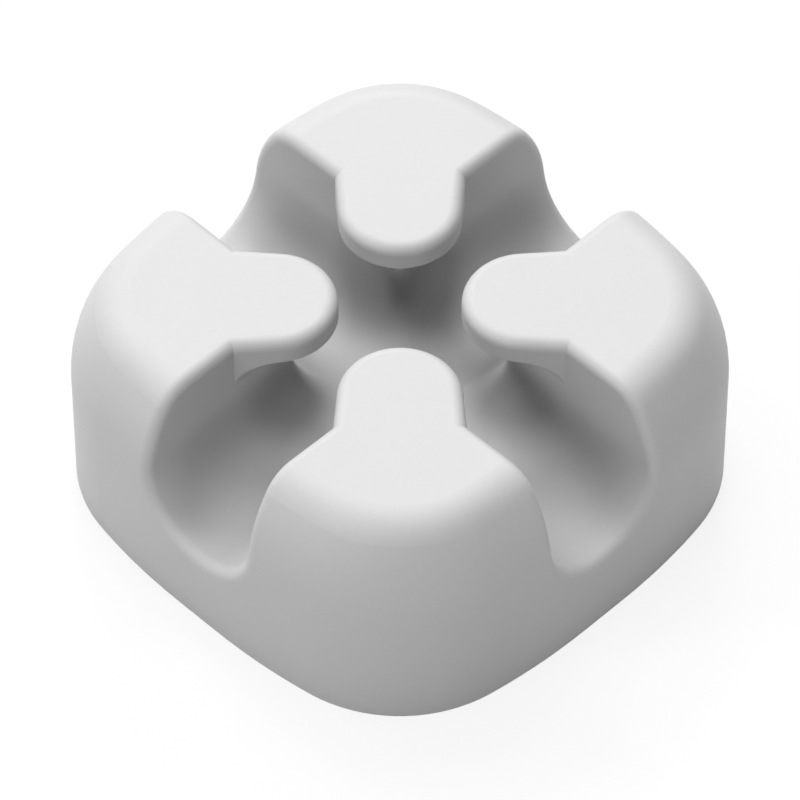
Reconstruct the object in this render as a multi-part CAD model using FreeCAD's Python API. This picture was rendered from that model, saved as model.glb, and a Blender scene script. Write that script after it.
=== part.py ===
import FreeCAD, Part
import math
import os

# Cross cable clip, moulded in one piece from a soft elastomer.
#
# A cushion-shaped block, square in plan with softly bulged sides, is crossed by two
# U-shaped cable channels that meet in the middle.  The four towers left standing
# each carry a thin tongue that points at the centre of the crossing, so a cable
# is pushed down between the tongue tips and is held in the trough below them.
#
# Frame: millimetres, origin at the centre of the flat underside, +Z up,
# one channel along X and the other along Y.

# Block
SIDE = 30.0              # across the middle of two opposite sides
HEIGHT = 13.2            # underside to the flat top
SIDE_R = 17.0            # plan radius of the bulge between a channel's mouth and the corner
CORNER_R = 8.6           # plan radius of the four corners
ROLL_IN = 3.25           # reach of the top roll-over towards the middle
ROLL_DOWN = 5.85         # reach of the top roll-over down the wall
ROLL_TOP_R = 2.2         # tighter radius with which the roll-over runs into the flat top

# Cable channels
CABLE_D = 7.0            # thickest cable the trough holds
CABLE_CLEARANCE = 0.15   # between that cable and the trough, each side
TROUGH_AXIS_Z = 8.45     # height of the cable's axis when it lies in the trough

# Tongues
TIP_TO_AXIS = 3.18       # from a tongue's tip to the vertical middle axis of the clip
TIP_WIDTH = 6.5          # width of a tongue across its round tip
TAPER_DEG = 4.6          # opening of each long side of a tongue towards its tower
LIP = 1.47               # thickness of a tongue
ROOT_R = 1.8             # hollow fillet from a tongue's underside down to the channel walls

# Edge softening
EDGE_R = 0.62            # all top edges of the channels and tongues, and the channel mouths
MOUTH_LAND = 0.1         # flat left beside the softened rim of a mouth, before the side bulges

# Derived sizes
TROUGH_R = CABLE_D / 2 + CABLE_CLEARANCE
HALF_GAP = TROUGH_R      # the channel walls run straight up from the trough's widest line
FLAT_HALF = HALF_GAP + EDGE_R + MOUTH_LAND   # half length of the flat that a channel comes out of
OVERSHOOT = 2.0          # how far cutting shapes reach past what they cut

UP = FreeCAD.Vector(0, 0, 1)
MIDDLE = FreeCAD.Vector(0, 0, 0)


def corner_centre():
    """Plan distance q of a corner arc's centre (q, q), with the corner arc tangent to both bulges."""
    k = SIDE / 2 - SIDE_R
    b = k + FLAT_HALF
    reach = SIDE_R - CORNER_R
    return (b + math.sqrt(b ** 2 - 2 * (k ** 2 + FLAT_HALF ** 2 - reach ** 2))) / 2


def bulge_sweep():
    """Angle in degrees that the bulge turns through, from the flat to the corner arc."""
    q = corner_centre()
    return math.degrees(math.atan2(q - FLAT_HALF, q - (SIDE / 2 - SIDE_R)))


def outline_arcs():
    """One quarter of the outline as (centre x, centre y, radius, start, sweep): bulge, corner, bulge."""
    k = SIDE / 2 - SIDE_R
    q = corner_centre()
    turn = bulge_sweep()
    return [
        (k, FLAT_HALF, SIDE_R, 0.0, turn),
        (q, q, CORNER_R, turn, 90 - 2 * turn),
        (FLAT_HALF, k, SIDE_R, 90 - turn, turn),
    ]


def roll_over():
    """Radius of the lower arc of the roll-over, and the slope angle at which the top arc takes over."""
    a = ROLL_IN - ROLL_TOP_R
    b = ROLL_DOWN - ROLL_TOP_R
    step = (a ** 2 + b ** 2) / (2 * a)
    return ROLL_TOP_R + step, math.atan2(b, step - a)


def skin_profile(at):
    """Wall, lower arc and top arc of the outer skin; at() turns (offset, z) into a point."""
    lower_r, join = roll_over()
    start = HEIGHT - ROLL_DOWN
    top = HEIGHT - ROLL_TOP_R

    def on_lower(angle):
        return at(lower_r * (math.cos(angle) - 1), start + lower_r * math.sin(angle))

    def on_top(angle):
        return at(ROLL_TOP_R * math.cos(angle) - ROLL_IN, top + ROLL_TOP_R * math.sin(angle))

    lower = Part.Arc(on_lower(0), on_lower(join / 2), on_lower(join))
    upper = Part.Arc(on_top(join), on_top((join + math.pi / 2) / 2), on_top(math.pi / 2))
    return [Part.makeLine(at(0, 0), at(0, start)), lower.toShape(), upper.toShape()]


def quarter_skin():
    """Outer skin from the flat facing +X, round the corner, up to the flat facing +Y."""
    def beside(offset, z):
        return FreeCAD.Vector(SIDE / 2 + offset, -FLAT_HALF, z)

    faces = [edge.extrude(FreeCAD.Vector(0, 2 * FLAT_HALF, 0)) for edge in skin_profile(beside)]
    for cx, cy, radius, start, sweep in outline_arcs():
        ca = math.cos(math.radians(start))
        sa = math.sin(math.radians(start))

        def at(offset, z):
            return FreeCAD.Vector(cx + (radius + offset) * ca, cy + (radius + offset) * sa, z)

        for edge in skin_profile(at):
            faces.append(edge.revolve(FreeCAD.Vector(cx, cy, 0), UP, sweep))
    return Part.makeCompound(faces)


def quarter_rim(offset, z):
    """The same quarter of the outline as edges at height z, moved inwards when offset is negative."""
    x = SIDE / 2 + offset
    edges = [Part.makeLine(FreeCAD.Vector(x, -FLAT_HALF, z), FreeCAD.Vector(x, FLAT_HALF, z))]
    for cx, cy, radius, start, sweep in outline_arcs():
        circle = Part.Circle(FreeCAD.Vector(cx, cy, z), UP, radius + offset)
        edges.append(Part.Arc(circle, math.radians(start), math.radians(start + sweep)).toShape())
    return Part.makeCompound(edges)


def turned(shape):
    """The shape and its copies at 90, 180 and 270 degrees about the middle axis."""
    copies = []
    for angle in (0, 90, 180, 270):
        each = shape.copy()
        each.rotate(MIDDLE, UP, angle)
        copies.append(each)
    return copies


def block():
    """The plain block: upright wall, roll-over of two tangent arcs, flat top and flat underside."""
    faces = []
    for quarter in turned(quarter_skin()):
        faces.extend(quarter.Faces)
    for offset, z in ((0.0, 0.0), (-ROLL_IN, HEIGHT)):
        edges = []
        for quarter in turned(quarter_rim(offset, z)):
            edges.extend(quarter.Edges)
        faces.append(Part.Face(Part.Wire(edges)))
    shell = Part.makeShell(faces)
    shell.sewShape()
    solid = Part.makeSolid(shell)
    if solid.Volume < 0:
        solid.reverse()
    return solid


def channel():
    """Space of the channel along X: open slot above, round trough below."""
    reach = SIDE / 2 + OVERSHOOT
    lid = HEIGHT + OVERSHOOT

    def at(y, z):
        return FreeCAD.Vector(-reach, y, z)

    low = TROUGH_AXIS_Z
    trough = Part.Arc(at(HALF_GAP, low), at(0, low - TROUGH_R), at(-HALF_GAP, low))
    section = Part.Wire([
        Part.makeLine(at(-HALF_GAP, low), at(-HALF_GAP, lid)),
        Part.makeLine(at(-HALF_GAP, lid), at(HALF_GAP, lid)),
        Part.makeLine(at(HALF_GAP, lid), at(HALF_GAP, low)),
        trough.toShape(),
    ])
    return Part.Face(section).extrude(FreeCAD.Vector(2 * reach, 0, 0))


def tongue_strip():
    """Plan shape of the tongue on the +X+Y tower, as a tall prism: round tip, sides opening outwards."""
    half = TIP_WIDTH / 2
    taper = math.radians(TAPER_DEG)
    mid = TIP_TO_AXIS + half
    # the strip ends well inside its tower
    end = math.sqrt(2) * (HALF_GAP + EDGE_R) + TIP_WIDTH
    z = HEIGHT - LIP - ROOT_R - OVERSHOOT
    d = math.sqrt(0.5)

    def at(along, across):
        return FreeCAD.Vector(d * (along - across), d * (along + across), z)

    touch = mid - half * math.sin(taper)
    width = half * math.cos(taper)
    end_width = width + (end - touch) * math.tan(taper)
    tip = Part.Arc(at(touch, width), at(TIP_TO_AXIS, 0), at(touch, -width))
    outline = Part.Wire([
        tip.toShape(),
        Part.makeLine(at(touch, -width), at(end, -end_width)),
        Part.makeLine(at(end, -end_width), at(end, end_width)),
        Part.makeLine(at(end, end_width), at(touch, width)),
    ])
    return Part.Face(outline).extrude(FreeCAD.Vector(0, 0, HEIGHT + OVERSHOOT - z))


def tunnel():
    """Space under the tongues in the channel along X: its roof meets the walls in hollow fillets."""
    reach = SIDE / 2 + OVERSHOOT
    roof = HEIGHT - LIP
    spring = roof - ROOT_R
    low = spring - 2 * OVERSHOOT
    near = HALF_GAP - ROOT_R
    mid = HALF_GAP - ROOT_R * (1 - math.sqrt(0.5))

    def at(y, z):
        return FreeCAD.Vector(-reach, y, z)

    section = [
        Part.makeLine(at(-HALF_GAP, low), at(-HALF_GAP, spring)),
        Part.makeLine(at(-near, roof), at(near, roof)),
        Part.makeLine(at(HALF_GAP, spring), at(HALF_GAP, low)),
        Part.makeLine(at(HALF_GAP, low), at(-HALF_GAP, low)),
    ]
    for side, place in ((-1, 1), (1, 3)):
        bend = Part.Arc(
            at(side * HALF_GAP, spring),
            at(side * mid, spring + mid - near),
            at(side * near, roof),
        )
        section.insert(place, bend.toShape())
    return Part.Face(Part.Wire(section)).extrude(FreeCAD.Vector(2 * reach, 0, 0))


def tongue():
    """The +X+Y tongue with its root, reaching above the top so that the block's own top trims it."""
    first = tunnel()
    second = first.copy()
    second.rotate(MIDDLE, UP, 90)
    return tongue_strip().cut([first, second])


def cavity():
    """All the space taken out of the block: both channels, less the four tongues that hang over them."""
    first = channel()
    second = first.copy()
    second.rotate(MIDDLE, UP, 90)
    return first.fuse(second).cut(turned(tongue()))


def rounded_edges(shape):
    """Edges where the cavity meets the flat top or the outer wall."""
    floor = TROUGH_AXIS_Z - TROUGH_R
    picked = []
    for edge in shape.Edges:
        middle = edge.valueAt((edge.FirstParameter + edge.LastParameter) / 2)
        if middle.z < floor - EDGE_R:
            continue
        if on_outer_skin(middle) and not on_outline_seam(edge):
            picked.append(edge)
    return picked


def outer_offset(p):
    """Signed plan distance of a point from the outline (negative inside)."""
    x = max(abs(p.x), abs(p.y))
    y = min(abs(p.x), abs(p.y))
    k = SIDE / 2 - SIDE_R
    q = corner_centre()
    if y <= FLAT_HALF:
        return x - SIDE / 2
    if math.degrees(math.atan2(y - FLAT_HALF, x - k)) < bulge_sweep():
        return math.hypot(x - k, y - FLAT_HALF) - SIDE_R
    return math.hypot(x - q, y - q) - CORNER_R


def on_outer_skin(p, near=1e-3):
    """True for a point on the flat top, the roll-over or the upright wall."""
    lower_r, join = roll_over()
    start = HEIGHT - ROLL_DOWN
    top = HEIGHT - ROLL_TOP_R
    off = outer_offset(p)
    if p.z < start:
        return abs(off) < near
    if abs(p.z - HEIGHT) < near:
        return True
    if p.z < start + lower_r * math.sin(join):
        return abs(math.hypot(off + lower_r, p.z - start) - lower_r) < near
    return abs(math.hypot(off + ROLL_IN, p.z - top) - ROLL_TOP_R) < near


def on_outline_seam(edge):
    """True for the smooth joints between two patches of the outer skin."""
    a = edge.valueAt(edge.FirstParameter)
    b = edge.valueAt(edge.LastParameter)
    m = edge.valueAt((edge.FirstParameter + edge.LastParameter) / 2)
    inside = 0
    for p in (a, m, b):
        if in_gap(p):
            inside += 1
    return inside < 3


def in_gap(p, near=0.01):
    """True for a point over one of the two channels, its walls included."""
    return min(abs(p.x), abs(p.y)) <= HALF_GAP + near or in_tongue_width(p, near)


def in_tongue_width(p, near):
    """True for a point on or in the plan strip of a tongue."""
    along = (abs(p.x) + abs(p.y)) * math.sqrt(0.5)
    across = abs(abs(p.x) - abs(p.y)) * math.sqrt(0.5)
    half = TIP_WIDTH / 2
    taper = math.radians(TAPER_DEG)
    mid = TIP_TO_AXIS + half
    side = across * math.cos(taper) - (along - mid) * math.sin(taper) - half
    return side <= near


def clip_body():
    """Block less cavity, with the softened edges."""
    raw = block().cut(cavity())
    return raw.makeFillet(EDGE_R, rounded_edges(raw))


body = clip_body()
print("valid", body.isValid(), "solids", len(body.Solids), "faces", len(body.Faces))
print("volume mm3", round(body.Volume, 1), "box", body.BoundBox)

os.makedirs("parts", exist_ok=True)
body.exportStep("parts/clip_body.step")
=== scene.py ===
# %% [markdown]
# # Cross cable clip
#
# This lesson dresses a small cable clip, moulded in one piece from light grey silicone.
# Its shape comes from the CAD model, and a copy of it gets two soft touches that the real clip has:
# rounded corners where its channels cross, and a slightly slimmer outline.
# The rest of the work is a believable surface, a floor, soft studio light and a camera that looks
# down on the clip's front corner.
# Blender keeps lengths in metres, and MM turns millimetres into metres.

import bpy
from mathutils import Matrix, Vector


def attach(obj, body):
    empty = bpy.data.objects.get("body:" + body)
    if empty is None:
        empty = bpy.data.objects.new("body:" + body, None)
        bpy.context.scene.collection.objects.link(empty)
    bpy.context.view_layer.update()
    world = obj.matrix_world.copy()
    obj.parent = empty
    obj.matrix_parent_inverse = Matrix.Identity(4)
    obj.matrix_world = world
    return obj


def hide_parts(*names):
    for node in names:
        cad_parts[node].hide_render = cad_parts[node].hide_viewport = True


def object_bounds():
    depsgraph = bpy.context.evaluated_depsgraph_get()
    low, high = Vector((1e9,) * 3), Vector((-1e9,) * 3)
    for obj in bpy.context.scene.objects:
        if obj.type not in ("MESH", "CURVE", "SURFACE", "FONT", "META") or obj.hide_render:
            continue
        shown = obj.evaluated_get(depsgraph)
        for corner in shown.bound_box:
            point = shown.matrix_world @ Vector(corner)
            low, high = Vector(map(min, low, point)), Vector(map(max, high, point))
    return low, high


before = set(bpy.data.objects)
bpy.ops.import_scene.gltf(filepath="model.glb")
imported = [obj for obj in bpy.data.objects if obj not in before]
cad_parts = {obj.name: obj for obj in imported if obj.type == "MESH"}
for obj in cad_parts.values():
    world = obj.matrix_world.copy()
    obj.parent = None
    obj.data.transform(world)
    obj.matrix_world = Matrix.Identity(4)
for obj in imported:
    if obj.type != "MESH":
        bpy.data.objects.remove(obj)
cad_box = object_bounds()
print("CAD box in metres:", cad_box)

# %% Modules and the clip
import math

import bmesh
import bpy
from mathutils import Matrix, Vector

MM = 0.001
scene = bpy.context.scene
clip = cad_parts["clip_body"]
print("clip_body has", len(clip.data.polygons), "faces")

# %% [markdown]
# Blender's colour sockets hold linear light, while colours are usually written as sRGB hex,
# so one function turns the one into the other.
# A second function adds a node together with its settings and the links that feed it.
# It keeps each material below down to a few readable lines.


# %% Colour and node helpers
def linear(hex_code):
    """An sRGB hex colour as the linear RGBA that a socket holds."""
    values = []
    for start in (0, 2, 4):
        c = int(hex_code[start:start + 2], 16) / 255
        values.append(c / 12.92 if c <= 0.04045 else ((c + 0.055) / 1.055) ** 2.4)
    return (*values, 1.0)


def add_node(tree, kind, settings=None, links=None):
    """One node, with its settings and the outputs that are linked into it."""
    node = tree.nodes.new(kind)
    for name, value in (settings or {}).items():
        if isinstance(name, int) or name in node.inputs:
            node.inputs[name].default_value = value
        else:
            setattr(node, name, value)
    for name, source in (links or {}).items():
        tree.links.new(source, node.inputs[name])
    return node


def empty_material(name):
    """A new material with an empty node tree."""
    material = bpy.data.materials.new(name)
    material.use_nodes = True
    material.node_tree.nodes.clear()
    return material


print("light grey e8e8e8 is", [round(c, 3) for c in linear("e8e8e8")[:3]], "in linear light")

# %% [markdown]
# Where the two channels cross, each of the four towers has an upright corner under its tongue, and
# from the corners four ridges run down to the middle of the floor, getting flatter on the way.
# In the mould they are rubbed round by about a millimetre, while the CAD solid keeps them crisp.
# Bevelling an edge can't follow a ridge that fades out, so this cell takes another way:
# the walls of both channels are described by how far a point lies beyond them, and where both are
# near, a blend of the two distances stands for the rounded form.

# %% The rounded crossing, as a distance
# all sizes of the crossing are in millimetres
TOP = round(cad_box[1][2] / MM, 3)
TONGUE = 1.47                # thickness of a tongue
CHANNEL_HALF = 3.65          # half a channel's width, and the radius of its trough
CHANNEL_AXIS = 8.45          # height of the trough's axis
ROOT_FILLET = 1.8            # hollow fillet between a channel's wall and a tongue's underside
ROOT_START = round(TOP - TONGUE - ROOT_FILLET, 3)      # height at which that fillet leaves the wall
BLEND = 1.3                  # radius of the rubbed corners and ridges
BLEND_TOP = 10.6             # height at which the rounding has run out
NO_WIDTH = 1e-6              # a blend narrower than this is left out


def channel_wall(across, height):
    """How far a point lies beyond one channel's wall, and the wall's slope across and up."""
    side = abs(across)
    if height < CHANNEL_AXIS:
        run, rise, radius = side, height - CHANNEL_AXIS, CHANNEL_HALF
    elif height > ROOT_START and side > CHANNEL_HALF - ROOT_FILLET:
        run, rise, radius = side - CHANNEL_HALF + ROOT_FILLET, height - ROOT_START, ROOT_FILLET
    else:
        run, rise, radius = side, 0.0, CHANNEL_HALF
    length = math.hypot(run, rise)
    return length - radius, math.copysign(run / length, across), rise / length


def crossing(point):
    """Distance beyond the nearer wall, distance beyond the blend, and the blend's direction."""
    x, y, z = point / MM
    a, a_across, a_up = channel_wall(y, z)
    b, b_across, b_up = channel_wall(x, z)
    wall_a, wall_b = Vector((0, a_across, a_up)), Vector((b_across, 0, b_up))
    fade = min(1, max(0, (BLEND_TOP - z) / (BLEND_TOP - ROOT_START)))
    # walls that meet squarely are rounded fully, and walls that face the same way not at all
    width = BLEND * fade * math.sqrt(max(0, 1 - wall_a.dot(wall_b)))
    share = max(0, 1 - abs(a - b) / width) if width > NO_WIDTH else 0
    near, far = (wall_a, wall_b) if a < b else (wall_b, wall_a)
    return min(a, b), min(a, b) - width * share ** 2 / 4, near.lerp(far, share / 2)


tower_corner = Vector((CHANNEL_HALF, CHANNEL_HALF, CHANNEL_AXIS)) * MM
draw_back = -crossing(tower_corner)[1] * math.sqrt(2)
print("a tower's corner draws back by", round(draw_back, 2), "mm")

# %% [markdown]
# The CAD mesh is left alone, and a copy of it is merged into one closed skin.
# Its corners carry exact surface directions from the CAD model. They are kept in a loop layer, so
# that they survive the cuts.
# Four cuts part the crossing from the long faces of the channels. The flat strip round each
# channel's mouth is one wide face, so it gets a few upright cuts too: a later step bends it a little.

# %% A merged copy, and its cuts
CROSSING_HALF = 5.3                          # millimetres: half width of the part that is rounded
HALF_SIDE = round(cad_box[1][0] / MM, 3)     # millimetres from the middle to each side
STRIP_CUTS = (-3.6, -2.4, -1.2, 0, 1.2, 2.4, 3.6)      # millimetres from a strip's middle
SLACK = 0.01                                 # millimetres allowed for rounding errors
UPRIGHT = 0.5                                # a face whose normal rises less than this is a wall
SAME_POINT = 0.001 * MM                      # corners closer than this are merged
ON_PLANE = 0.0001 * MM                       # a corner nearer to a cut than this counts as on it
X_AXIS, Y_AXIS = Vector((1, 0, 0)), Vector((0, 1, 0))


def mouth_strips():
    """The flat strips of skin round the channels' mouths: their corners, edges and faces."""
    bm.normal_update()
    faces = [face for face in bm.faces if abs(face.normal.z) < UPRIGHT and
             all(max(abs(v.co.x), abs(v.co.y)) > (HALF_SIDE - SLACK) * MM for v in face.verts)]
    edges = dict.fromkeys(edge for face in faces for edge in face.edges)
    corners = dict.fromkeys(vertex for face in faces for vertex in face.verts)
    return [*corners, *edges, *faces]


def cut(geometry, way, distance):
    """Cut some of the copy by an upright plane, a distance in millimetres from the middle."""
    bmesh.ops.bisect_plane(bm, geom=geometry, dist=ON_PLANE,
                           plane_co=way * distance * MM, plane_no=way)


def split_to_triangles():
    """Turn the larger faces that a cut leaves into triangles."""
    bmesh.ops.triangulate(bm, faces=[face for face in bm.faces if len(face.verts) > 3])


bm = bmesh.new()
bm.from_mesh(clip.data)
cad_normal = bm.loops.layers.float_vector.new("cad_normal")
directions = iter([corner.vector.copy() for corner in clip.data.corner_normals])
for face in bm.faces:
    for loop in face.loops:
        loop[cad_normal] = next(directions)
bmesh.ops.remove_doubles(bm, verts=bm.verts[:], dist=SAME_POINT)
for way in (X_AXIS, -X_AXIS, Y_AXIS, -Y_AXIS):
    cut(bm.verts[:] + bm.edges[:] + bm.faces[:], way, CROSSING_HALF)
for way in (X_AXIS, Y_AXIS):
    for distance in STRIP_CUTS:
        cut(mouth_strips(), way, distance)
split_to_triangles()
print("the merged and cut copy has", len(bm.faces), "faces")

# %% [markdown]
# The walls in the crossing are made of long triangles, and a long triangle can't be bent round.
# Subdividing the whole clip would make it heavy, so only the edges that lie on these walls are halved
# again and again, until they are short enough.

# %% Finer mesh in the crossing
FINE_EDGE = 0.3 * MM
HALVINGS = 4
ON_WALL = 0.06               # millimetres that a chord of the CAD mesh may lie off the true wall


def in_crossing(vertex):
    """Whether a vertex lies on a channel's wall within the part that is rounded."""
    span = max(abs(vertex.co.x), abs(vertex.co.y)) / MM
    if span > CROSSING_HALF + SLACK or vertex.co.z / MM > BLEND_TOP:
        return False
    return abs(crossing(vertex.co)[0]) < ON_WALL


for halving in range(HALVINGS):
    inside = {vertex for vertex in bm.verts if in_crossing(vertex)}
    long_edges = [edge for edge in bm.edges
                  if edge.calc_length() > FINE_EDGE and inside.issuperset(edge.verts)]
    print("halving", halving + 1, "splits", len(long_edges), "of", len(bm.edges), "edges")
    bmesh.ops.subdivide_edges(bm, edges=long_edges, cuts=1)
    split_to_triangles()
inside = {vertex for vertex in bm.verts if in_crossing(vertex)}
print(len(inside), "vertices in the crossing,", len(bm.faces), "faces")

# %% [markdown]
# Each vertex of the crossing now slides onto the blend, the way a thumb would press the ridge down.
# The blend's direction changes on the way, so one straight step would miss it, and a few steps, each
# from the place where the last one ended, come to rest on it.

# %% Round the crossing
SLIDES = 5

for vertex in inside:
    for slide in range(SLIDES):
        _, distance, slope = crossing(vertex.co)
        vertex.co -= slope * (distance / slope.length_squared * MM)
farthest = max(abs(crossing(vertex.co)[1]) for vertex in inside)
print("the rounded walls lie within", round(farthest, 4), "mm of the blend")

# %% [markdown]
# The real clip's outline is a long, shallow arc on each side, between round corners.
# The CAD outline has a wider flat at each channel's mouth and a fuller bulge beside it, which is
# easier to round along the mouths, but stands out a fifth of a millimetre beside the corners.
# Two distances from the middle, to the one outline and to the other in the same direction, say how
# far the skin is drawn in: all of it at the outer wall, and none at the tongues.

# %% The slimmer outline
# millimetres: radius of a side's arc, radius of a corner, and half of the flat at a mouth
CAD_OUTLINE = (17.0, 8.6, 4.37)
TRUE_OUTLINE = (36.0, 8.2, 1.5)
# millimetres from the middle: nothing moves within the first, and all of the skin past the second
STILL_INSIDE, DRAWN_OUTSIDE = 8.0, 12.0


def to_outline(turn, side_radius, corner_radius, flat_half):
    """Distance from the middle to an outline, at a turn of up to 45 degrees from a side's middle."""
    way = Vector((math.cos(turn), math.sin(turn)))
    if way.y / way.x * HALF_SIDE <= flat_half:
        return HALF_SIDE / way.x
    # the side's arc starts where the flat ends, and the corner's arc touches it from inside
    side_centre = HALF_SIDE - side_radius
    both = side_centre + flat_half
    gap = side_radius - corner_radius
    corner_centre = (both + math.sqrt(both ** 2 - 2 * (side_centre ** 2 + flat_half ** 2 - gap ** 2))) / 2
    meeting = math.atan2(corner_centre - flat_half, corner_centre - side_centre)
    arcs = ((Vector((side_centre, flat_half)), side_radius),
            (Vector((corner_centre, corner_centre)), corner_radius))
    for centre, radius in arcs:
        along = way.dot(centre)
        far = along + math.sqrt(along ** 2 - centre.length_squared + radius ** 2)
        offset = way * far - centre
        if math.atan2(offset.y, offset.x) <= meeting:
            break
    return far


def drawn_in(point):
    """A point of the skin, moved level towards the middle by as much as the outlines differ."""
    flat = Vector((point.x, point.y)) / MM
    share = min(1, max(0, (flat.length - STILL_INSIDE) / (DRAWN_OUTSIDE - STILL_INSIDE)))
    if share == 0:
        return point.copy()
    turn = math.atan2(min(abs(flat.x), abs(flat.y)), max(abs(flat.x), abs(flat.y)))
    difference = to_outline(turn, *TRUE_OUTLINE) - to_outline(turn, *CAD_OUTLINE)
    # the step grows smoothly from none to all of the difference
    step = difference * share ** 2 * (3 - 2 * share)
    flat *= 1 + step / flat.length
    return Vector((flat.x * MM, flat.y * MM, point.z))


for degrees in (0, 25, 45):
    turn = math.radians(degrees)
    print("at", degrees, "degrees from a side's middle the skin is drawn in by",
          round(to_outline(turn, *CAD_OUTLINE) - to_outline(turn, *TRUE_OUTLINE), 3), "mm")

# %% [markdown]
# Drawing the skin in tilts it a little, so the directions from the CAD model are tilted with it.
# How much is measured at each vertex, by moving two points beside it in the same way.

# %% Draw the outline in
PROBE = 0.01 * MM

tilts = {}
for vertex in bm.verts:
    home = vertex.co.copy()
    vertex.co = drawn_in(home)
    moved_axes = [(drawn_in(home + axis * PROBE) - vertex.co) / PROBE for axis in (X_AXIS, Y_AXIS)]
    # the rows are the moved axes, so the inverse tilts a normal as the skin is tilted
    tilts[vertex] = Matrix((*moved_axes, (0, 0, 1))).inverted()
print(len(tilts), "vertices went through the drawing in")

# %% [markdown]
# The rounded walls take the blend's own direction as their normal, unless it points quite another
# way than the CAD model's, as at a corner that a tongue's side shares with the wall below.
# The finished mesh rides on the clip's only body and is shown in the place of the CAD node.

# %% Normals and the finished piece
SAME_WAY = 0.6               # least agreement of the two directions

normals = []
for face in bm.faces:
    face.smooth = True
    for loop in face.loops:
        normal = (tilts[loop.vert] @ loop[cad_normal]).normalized()
        if loop.vert in inside:
            rounded = -crossing(loop.vert.co)[2].normalized()
            normal = rounded if rounded.dot(normal) > SAME_WAY else normal
        normals.append(normal)
skin = bpy.data.meshes.new("silicone_clip")
bm.to_mesh(skin)
open_edges = sum(not edge.is_manifold for edge in bm.edges)
bm.free()
skin.normals_split_custom_set(normals)
body = bpy.data.objects.new("silicone_clip", skin)
scene.collection.objects.link(body)
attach(body, "root")
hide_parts("clip_body")
print("silicone_clip has", len(skin.polygons), "faces and", open_edges, "open edges")

# %% [markdown]
# The clip is soft silicone rubber, pressed in a steel mould whose walls were finely blasted.
# The mould leaves a dull, even skin: broad highlights and a grain too fine to see at arm's length.
# A noise texture with a grain of a quarter of a millimetre, used as a bump, gives that skin,
# and a slower noise lets the gloss wander a little, as it does where a hand has touched rubber.
# White rubber throws much light from wall to wall, and that would wash out the hollows,
# so a ray that has bounced off one wall meets a darker skin on the next one.
# That darker skin is painted shade: a grey copy of the rubber that keeps the hollows darker than the
# bounced light alone would leave them.

# %% Silicone
SKIN_GRAIN = 0.25 * MM       # blasted mould wall, drawn a little coarser than the real one
SKIN_DEPTH = 0.006 * MM
HANDLING_PATCH = 6 * MM      # size of the patches in which the gloss changes
GLOSSIEST, DULLEST = 0.46, 0.54
SILICONE_IOR = 1.41


def moulded_silicone():
    """Silicone rubber from a blasted mould: pale, dull and very finely grained."""
    material = empty_material("moulded_silicone_light_grey")
    tree = material.node_tree
    place = add_node(tree, "ShaderNodeTexCoord")
    grain = add_node(tree, "ShaderNodeTexNoise", {"Scale": 1 / SKIN_GRAIN, "Detail": 3.0},
                     {"Vector": place.outputs["Object"]})
    patches = add_node(tree, "ShaderNodeTexNoise", {"Scale": 1 / HANDLING_PATCH, "Detail": 2.0},
                       {"Vector": place.outputs["Object"]})
    gloss = add_node(tree, "ShaderNodeMapRange", {"To Min": GLOSSIEST, "To Max": DULLEST},
                     {"Value": patches.outputs["Fac"]})
    tone = add_node(tree, "ShaderNodeValToRGB", {}, {"Fac": grain.outputs["Fac"]})
    tone.color_ramp.elements[0].color = linear("e6e6e6")
    tone.color_ramp.elements[1].color = linear("eaeaea")
    bump = add_node(tree, "ShaderNodeBump", {"Strength": 0.5, "Distance": SKIN_DEPTH},
                    {"Height": grain.outputs["Fac"]})
    rubber = add_node(tree, "ShaderNodeBsdfPrincipled", {"IOR": SILICONE_IOR},
                      {"Base Color": tone.outputs["Color"], "Roughness": gloss.outputs["Result"],
                       "Normal": bump.outputs["Normal"]})
    # painted shade: a darker grey copy of the rubber, seen only by light that bounces between walls
    painted_shade_copy = add_node(tree, "ShaderNodeBsdfDiffuse", {"Color": linear("898989")})
    path = add_node(tree, "ShaderNodeLightPath")
    both = add_node(tree, "ShaderNodeMixShader", {},
                    {0: path.outputs["Is Diffuse Ray"],
                     1: rubber.outputs["BSDF"], 2: painted_shade_copy.outputs["BSDF"]})
    add_node(tree, "ShaderNodeOutputMaterial", {}, {"Surface": both.outputs["Shader"]})
    return material


body.data.materials.append(moulded_silicone())
print("silicone_clip wears", body.data.materials[0].name)

# %% [markdown]
# The camera stands over the front corner and looks down at about fifty degrees.
# Its focal length follows from how many pixels of an 800 pixel picture a millimetre takes,
# and a slight vertical shift puts the clip's middle a little above the picture's middle.

# %% Camera
PICTURE = 800                # pixels along each side
ELEVATION = math.radians(49.8)
DISTANCE = 355 * MM
SENSOR = 36                  # millimetres, as the lens below is
PIXELS_PER_MM = 19.08
MIDDLE_ROW = 378.4           # picture row on which the clip's middle falls

target = Vector((0, 0, (cad_box[0][2] + cad_box[1][2]) / 2))
level = Vector((1, 1, 0)).normalized()
gaze = level * math.cos(ELEVATION) - Vector((0, 0, math.sin(ELEVATION)))
lens = bpy.data.cameras.new("corner_camera")
lens.sensor_width = SENSOR
lens.lens = PIXELS_PER_MM * (DISTANCE / MM) / PICTURE * SENSOR
lens.shift_y = (MIDDLE_ROW - PICTURE / 2) / PICTURE
lens.clip_start = 0.01
lens.clip_end = 20
camera = bpy.data.objects.new("corner_camera", lens)
camera.location = target - DISTANCE * gaze
camera.rotation_euler = gaze.to_track_quat("-Z", "Y").to_euler()
scene.collection.objects.link(camera)
scene.camera = camera
print("lens", round(lens.lens), "mm, shift", round(lens.shift_y, 4))

# %% [markdown]
# The floor is a large sheet of matt paper.
# To the camera and in reflections it is white with a faint shadow under the clip, because most of
# its brightness is its own; to the clip it is a plain pale sheet that returns part of the light.
# A Light Path node tells the two kinds of ray apart.
# The sheet lies a hair below the clip, so that the two flat faces don't share one plane.

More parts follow.
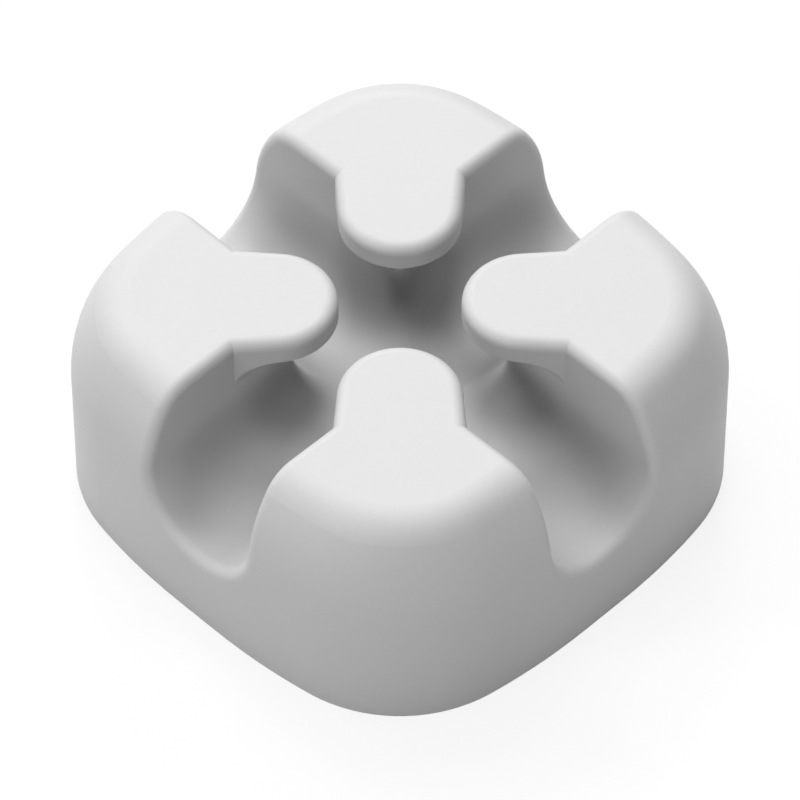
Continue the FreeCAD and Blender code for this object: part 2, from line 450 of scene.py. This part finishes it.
# %% Floor
FLOOR_HALF = 3.0             # metres
FLOOR_GAP = 0.02 * MM
FIBRE = 0.5 * MM             # paper fibres, drawn coarser than real ones
FIBRE_DEPTH = 0.01 * MM
GLOW = 0.84                  # the floor's own brightness, where 1 is white


def looking_rays(tree):
    """1 for rays from the camera or from a reflection, and 0 for rays that gather soft light."""
    path = add_node(tree, "ShaderNodeLightPath")
    mirror = add_node(tree, "ShaderNodeMath", {"operation": "MAXIMUM"},
                      {0: path.outputs["Is Glossy Ray"], 1: path.outputs["Is Transmission Ray"]})
    either = add_node(tree, "ShaderNodeMath", {"operation": "MAXIMUM"},
                      {0: path.outputs["Is Camera Ray"], 1: mirror.outputs["Value"]})
    return either.outputs["Value"]


def paper():
    """Matt paper: nearly white to the camera, light grey to the light that bounces off it."""
    material = empty_material("matt_paper_white")
    tree = material.node_tree
    place = add_node(tree, "ShaderNodeTexCoord")
    fibres = add_node(tree, "ShaderNodeTexNoise", {"Scale": 1 / FIBRE, "Detail": 2.0},
                      {"Vector": place.outputs["Object"]})
    bump = add_node(tree, "ShaderNodeBump", {"Strength": 0.1, "Distance": FIBRE_DEPTH},
                    {"Height": fibres.outputs["Fac"]})
    sheet = add_node(tree, "ShaderNodeBsdfDiffuse", {"Color": linear("cbcbcb")},
                     {"Normal": bump.outputs["Normal"]})
    seen = add_node(tree, "ShaderNodeBsdfDiffuse", {"Color": linear("7c7c7c")},
                    {"Normal": bump.outputs["Normal"]})
    own = add_node(tree, "ShaderNodeEmission", {"Strength": GLOW})
    lit = add_node(tree, "ShaderNodeAddShader", {},
                   {0: seen.outputs["BSDF"], 1: own.outputs["Emission"]})
    both = add_node(tree, "ShaderNodeMixShader", {},
                    {0: looking_rays(tree), 1: sheet.outputs["BSDF"], 2: lit.outputs["Shader"]})
    add_node(tree, "ShaderNodeOutputMaterial", {}, {"Surface": both.outputs["Shader"]})
    return material


bm = bmesh.new()
bmesh.ops.create_grid(bm, x_segments=1, y_segments=1, size=FLOOR_HALF,
                      matrix=Matrix.Translation((0, 0, cad_box[0][2] - FLOOR_GAP)))
sheet_mesh = bpy.data.meshes.new("floor")
bm.to_mesh(sheet_mesh)
bm.free()
floor = bpy.data.objects.new("floor", sheet_mesh)
floor.data.materials.append(paper())
scene.collection.objects.link(floor)
print("floor is", 2 * FLOOR_HALF, "m square")

# %% [markdown]
# Light comes from round softboxes one metre away, so every shadow has a soft edge.
# The strongest stand behind the clip and to its left, where they skim the flat top and leave the
# hollows in shade; three low ones in front light the two walls that face the camera.
# A level is the brightness that one lamp alone would give a white card turned to face it,
# and together the lamps light a white card that lies flat to nine tenths of full white.

# %% Softboxes
LAMP_DISTANCE = 1.0                    # metres
BOX_HALF_ANGLE = math.radians(9)       # half of the angle that a softbox fills, seen from the clip

# name: height above the horizon and turn from the camera's side, both in degrees, and level
SOFTBOXES = {
    "rear_low": (34, 180, 0.281),
    "rear_left": (50, -150, 0.169),
    "rear_high": (66, 180, 0.155),
    "overhead": (88, 0, 0.147),
    "left_high": (50, -120, 0.132),
    "front_right": (34, 40, 0.112),
    "left_low": (34, -55, 0.108),
    "front_left": (34, -40, 0.092),
    "left_skim": (18, -90, 0.052),
    "right_high": (66, 60, 0.034),
}


def softbox(name, height, turn, brightness):
    """A round lamp aimed at the clip; a turn of 0 is the camera's side and 90 is picture right."""
    lamp = bpy.data.lights.new(name, "AREA")
    lamp.shape = "DISK"
    lamp.size = 2 * LAMP_DISTANCE * math.tan(BOX_HALF_ANGLE)
    # a disk of this many watts gives a white card that faces it the brightness asked for
    lamp.energy = (math.pi * LAMP_DISTANCE / math.cos(BOX_HALF_ANGLE)) ** 2 * brightness
    right = level.cross(Vector((0, 0, 1)))
    way = right * math.sin(math.radians(turn)) - level * math.cos(math.radians(turn))
    way = way * math.cos(math.radians(height)) + Vector((0, 0, math.sin(math.radians(height))))
    obj = bpy.data.objects.new(name, lamp)
    obj.location = target + LAMP_DISTANCE * way
    obj.rotation_euler = (-way).to_track_quat("-Z", "Y").to_euler()
    obj.visible_camera = False
    scene.collection.objects.link(obj)
    return brightness * math.sin(math.radians(height))


flat_card = sum(softbox(name, *values) for name, values in SOFTBOXES.items())
print("a flat white card is lit to", round(flat_card, 2))

# %% [markdown]
# The world is the white room that is seen past the floor's edge and in the rubber's dull reflections.
# It could light the clip too, but light from all sides at once would wash out the hollows, so to all
# other rays it is nearly dark.

# %% World
ROOM_LIGHT = 0.02

world = bpy.data.worlds.new("white_room")
world.use_nodes = True
room_tree = world.node_tree
room_tree.nodes.clear()
dim_room = add_node(room_tree, "ShaderNodeBackground",
                    {"Color": linear("ffffff"), "Strength": ROOM_LIGHT})
white_room = add_node(room_tree, "ShaderNodeBackground", {"Color": linear("ffffff"), "Strength": 1.0})
room = add_node(room_tree, "ShaderNodeMixShader", {},
                {0: looking_rays(room_tree), 1: dim_room.outputs[0], 2: white_room.outputs[0]})
add_node(room_tree, "ShaderNodeOutputWorld", {}, {"Surface": room.outputs["Shader"]})
scene.world = world
scene.view_settings.view_transform = "Standard"
print("world", world.name, "and view", scene.view_settings.view_transform)
